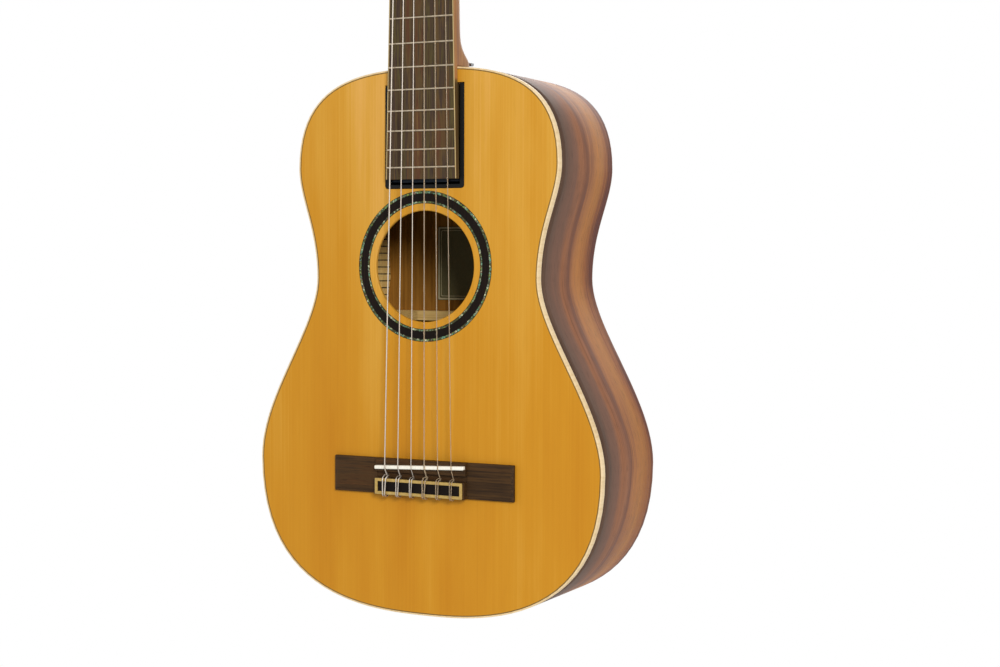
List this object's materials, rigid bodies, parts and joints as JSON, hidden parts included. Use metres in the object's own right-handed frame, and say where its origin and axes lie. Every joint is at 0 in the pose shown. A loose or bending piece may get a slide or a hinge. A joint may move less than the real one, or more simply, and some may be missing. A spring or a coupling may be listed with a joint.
{
  "type": "travel guitar",
  "caption": "Small nylon-string travel guitar with a slotted head and a neck that hooks into a pocket in the body, tilts forward and is held by a thumb latch.",
  "frame": {"origin": "centre of the strap button's flat end at the tail, in the middle of the body's width and depth", "axes": "+Z from the tail to the head, -Y the way the soundboard faces, +X towards the treble side"},
  "size_m": [0.3054, 0.1177, 0.8986],
  "materials": {
    "top_wood": "satin cedar",
    "shell": "polished shell",
    "dark_band": "polished",
    "binding_wood": "satin maple",
    "side_wood": "satin rosewood",
    "brace_wood": "bare spruce",
    "block_wood": "bare mahogany",
    "board_wood": "oiled rosewood",
    "paper": "blank paper",
    "bone": "polished bone",
    "tan_trim": "polished",
    "black_plastic": "semi-gloss",
    "steel": "brushed",
    "nickel": "polished nickel",
    "neck_wood": "satin mahogany",
    "roller_plastic": "polished",
    "pearl": "pearly",
    "nylon": "clear nylon",
    "silver_wound": "silvered wire winding"
  },
  "bodies": {
    "body": {"soundboard": "top_wood", "rosette_inner_ring": "shell", "rosette_band": "dark_band", "rosette_outer_ring": "shell", "binding": "binding_wood", "bass_side": "side_wood", "treble_side": "side_wood", "back": "side_wood", "front_lining": "brace_wood", "back_lining": "brace_wood", "neck_block": "block_wood", "tail_block": "block_wood", "upper_brace": "brace_wood", "fan_bracing": "brace_wood", "back_brace_lower": "brace_wood", "back_brace_middle": "brace_wood", "back_brace_upper": "brace_wood", "bridge_plate": "board_wood", "label": "paper", "bridge": "board_wood", "saddle": "bone", "tie_block_trim": "tan_trim", "pocket_frame": "black_plastic", "hook_bar": "steel", "latch_pin": "steel", "strap_button": "nickel", "string_1": "nylon", "string_2": "nylon", "string_3": "nylon", "string_4": "silver_wound", "string_5": "silver_wound", "string_6": "silver_wound"},
    "neck": {"neck": "neck_wood", "fretboard": "board_wood", "nut": "bone", "headplate": "board_wood", "neck_hook": "steel", "strike_plate": "steel", "treble_tuner_plate": "nickel", "bass_tuner_plate": "nickel"},
    "latch": {"latch_lever": "steel"},
    "tuner_shaft_1": {"worm_shaft_1": "nickel", "button_1": "pearl"},
    "tuner_shaft_2": {"worm_shaft_2": "nickel", "button_2": "pearl"},
    "tuner_shaft_3": {"worm_shaft_3": "nickel", "button_3": "pearl"},
    "tuner_shaft_4": {"worm_shaft_4": "nickel", "button_4": "pearl"},
    "tuner_shaft_5": {"worm_shaft_5": "nickel", "button_5": "pearl"},
    "tuner_shaft_6": {"worm_shaft_6": "nickel", "button_6": "pearl"},
    "roller_1": {"roller_1": "roller_plastic"},
    "roller_2": {"roller_2": "roller_plastic"},
    "roller_3": {"roller_3": "roller_plastic"},
    "roller_4": {"roller_4": "roller_plastic"},
    "roller_5": {"roller_5": "roller_plastic"},
    "roller_6": {"roller_6": "roller_plastic"}
  },
  "joints": [
    {"name": "neck_tilt", "type": "hinge", "parent": "body", "child": "neck", "pos_m": [0, -0.048, 0.352], "axis": [1, 0, 0], "range_deg": [0, 8], "deforming": ["string_1", "string_2", "string_3", "string_4", "string_5", "string_6"]},
    {"name": "latch_turn", "type": "hinge", "parent": "body", "child": "latch", "pos_m": [0, -0.019, 0.43435], "axis": [1, 0, 0], "range_deg": [-32, 0], "stiffness_Nm_per_rad": 0.02},
    {"name": "tuner_1_turn", "type": "hinge", "parent": "neck", "child": "tuner_shaft_1", "pos_m": [0.03945, -0.03249, 0.80645], "axis": [0, 0.9659, -0.2588], "continuous": true},
    {"name": "tuner_2_turn", "type": "hinge", "parent": "neck", "child": "tuner_shaft_2", "pos_m": [0.03945, -0.02343, 0.84025], "axis": [0, 0.9659, -0.2588], "continuous": true},
    {"name": "tuner_3_turn", "type": "hinge", "parent": "neck", "child": "tuner_shaft_3", "pos_m": [0.03945, -0.01437, 0.87406], "axis": [0, 0.9659, -0.2588], "continuous": true},
    {"name": "tuner_4_turn", "type": "hinge", "parent": "neck", "child": "tuner_shaft_4", "pos_m": [-0.03945, -0.01437, 0.87406], "axis": [0, 0.9659, -0.2588], "continuous": true},
    {"name": "tuner_5_turn", "type": "hinge", "parent": "neck", "child": "tuner_shaft_5", "pos_m": [-0.03945, -0.02343, 0.84025], "axis": [0, 0.9659, -0.2588], "continuous": true},
    {"name": "tuner_6_turn", "type": "hinge", "parent": "neck", "child": "tuner_shaft_6", "pos_m": [-0.03945, -0.03249, 0.80645], "axis": [0, 0.9659, -0.2588], "continuous": true},
    {"name": "roller_1_turn", "type": "hinge", "parent": "neck", "child": "roller_1", "pos_m": [0, -0.03461, 0.79853], "axis": [1, 0, 0], "continuous": true, "deforming": ["string_1"]},
    {"name": "roller_2_turn", "type": "hinge", "parent": "neck", "child": "roller_2", "pos_m": [0, -0.02555, 0.83233], "axis": [1, 0, 0], "continuous": true, "deforming": ["string_2"]},
    {"name": "roller_3_turn", "type": "hinge", "parent": "neck", "child": "roller_3", "pos_m": [0, -0.01649, 0.86614], "axis": [1, 0, 0], "continuous": true, "deforming": ["string_3"]},
    {"name": "roller_4_turn", "type": "hinge", "parent": "neck", "child": "roller_4", "pos_m": [0, -0.01649, 0.86614], "axis": [1, 0, 0], "continuous": true, "deforming": ["string_4"]},
    {"name": "roller_5_turn", "type": "hinge", "parent": "neck", "child": "roller_5", "pos_m": [0, -0.02555, 0.83233], "axis": [1, 0, 0], "continuous": true, "deforming": ["string_5"]},
    {"name": "roller_6_turn", "type": "hinge", "parent": "neck", "child": "roller_6", "pos_m": [0, -0.03461, 0.79853], "axis": [1, 0, 0], "continuous": true, "deforming": ["string_6"]}
  ],
  "couplings": [
    {"joint": "latch_turn", "follows": "neck_tilt", "ratio": -4},
    {"joint": "roller_1_turn", "follows": "tuner_1_turn", "ratio": 0.071429},
    {"joint": "roller_2_turn", "follows": "tuner_2_turn", "ratio": 0.071429},
    {"joint": "roller_3_turn", "follows": "tuner_3_turn", "ratio": 0.071429},
    {"joint": "roller_4_turn", "follows": "tuner_4_turn", "ratio": 0.071429},
    {"joint": "roller_5_turn", "follows": "tuner_5_turn", "ratio": 0.071429},
    {"joint": "roller_6_turn", "follows": "tuner_6_turn", "ratio": 0.071429}
  ]
}
